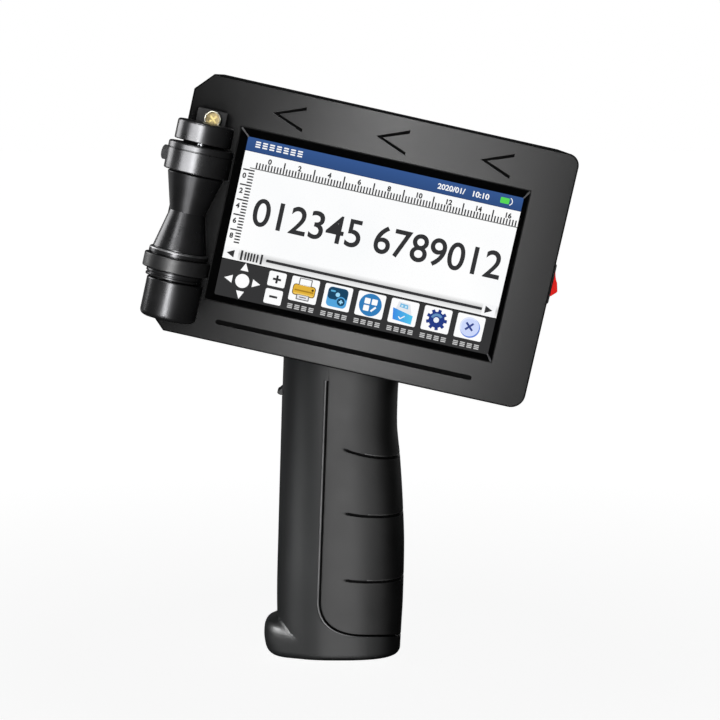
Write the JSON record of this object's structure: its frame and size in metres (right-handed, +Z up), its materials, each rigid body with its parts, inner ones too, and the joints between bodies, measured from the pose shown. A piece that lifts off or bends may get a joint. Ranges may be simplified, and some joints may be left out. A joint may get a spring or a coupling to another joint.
{
  "type": "handheld date code inkjet printer",
  "caption": "Pistol-grip inkjet coder: flat tilted head with touch screen, guide roller at the printing end, rocker switch, trigger and removable ink cartridge.",
  "frame": {"origin": "centre of the grip's flat base", "axes": "+Z up along the grip, -X towards the printing end of the head, -Y out of the touch screen"},
  "size_m": [0.147, 0.0821, 0.2042],
  "materials": {
    "shell_plastic": "satin, finely textured",
    "grip_plastic": "satin",
    "strap_rubber": "soft, matte",
    "gloss_black": "glossy",
    "screen_glass": "polished",
    "anodised_black": "turned, black anodised",
    "steel": "brushed",
    "brass_screw": "bright",
    "black_rubber": "matte",
    "red_rocker": "glossy",
    "cartridge_plastic": "satin",
    "lever_blue": "satin",
    "gold_plate": "plated",
    "circuit_board": "solder mask",
    "pouch_cell": "foil",
    "lead_sheath": "matte"
  },
  "bodies": {
    "printer": {"front_cover": "shell_plastic", "rear_cover": "shell_plastic", "rear_cover_screw_1": "steel", "rear_cover_screw_2": "steel", "rear_cover_screw_3": "steel", "rear_cover_screw_4": "steel", "screen_bezel": "gloss_black", "touch_glass": "screen_glass", "display_panel": "steel", "main_board": "circuit_board", "buzzer": "black_rubber", "cartridge_carriage": "shell_plastic", "contact_board": "circuit_board", "clamp_pin": "steel", "muzzle_plate": "steel", "muzzle_screw_1": "steel", "muzzle_screw_2": "steel", "power_switch": "gloss_black", "usb_port": "steel", "dc_jack": "gloss_black", "roller_bracket": "black_rubber", "bracket_screw_upper": "brass_screw", "bracket_screw_lower": "steel", "roller_cap": "anodised_black", "roller_axle": "steel", "roller_collar": "anodised_black", "lock_screw": "black_rubber", "encoder_housing": "anodised_black", "encoder_cap": "black_rubber", "encoder_board": "circuit_board", "neck_sleeve": "steel", "grip_shell_near": "grip_plastic", "grip_shell_far": "grip_plastic", "grip_screw_1": "steel", "grip_screw_2": "steel", "grip_screw_3": "steel", "grip_backstrap": "strap_rubber", "trigger_pin": "steel", "trigger_switch": "gloss_black", "trigger_spring": "steel", "battery_cell_1": "pouch_cell", "battery_cell_2": "pouch_cell", "battery_cell_3": "pouch_cell", "battery_cradle": "black_rubber", "protection_board": "circuit_board", "battery_lead": "lead_sheath"},
    "roller": {"guide_roller": "anodised_black", "roller_tyre": "black_rubber", "roller_bearing_upper": "steel", "roller_bearing_lower": "steel", "encoder_disc": "steel"},
    "cartridge": {"ink_cartridge": "cartridge_plastic", "nozzle_plate": "gold_plate"},
    "clamp": {"clamp_lever": "lever_blue"},
    "rocker": {"power_rocker": "red_rocker"},
    "trigger_lever": {"trigger": "grip_plastic"}
  },
  "joints": [
    {"name": "roller_spin", "type": "hinge", "parent": "printer", "child": "roller", "pos_m": [-0.04899, -0.043, 0.16068], "axis": [0.2181, 0, 0.9759], "continuous": true},
    {"name": "cartridge_slide", "type": "slide", "parent": "printer", "child": "cartridge", "axis": [0, 1, 0], "range_m": [0, 0.034]},
    {"name": "clamp_flip", "type": "hinge", "parent": "printer", "child": "clamp", "pos_m": [0.02728, 0.0214, 0.14158], "axis": [0.2181, 0, 0.9759], "range_deg": [0, 90]},
    {"name": "rocker_tip", "type": "hinge", "parent": "printer", "child": "rocker", "pos_m": [0.07166, 0, 0.13156], "axis": [0, 1, 0], "range_deg": [0, 30]},
    {"name": "trigger_pull", "type": "hinge", "parent": "printer", "child": "trigger_lever", "pos_m": [-0.0164, 0, 0.1042], "axis": [0, 1, 0], "range_deg": [-8, 0], "stiffness_Nm_per_rad": 0.12, "springref_deg": 5.73, "deforming": ["trigger_spring"]}
  ]
}
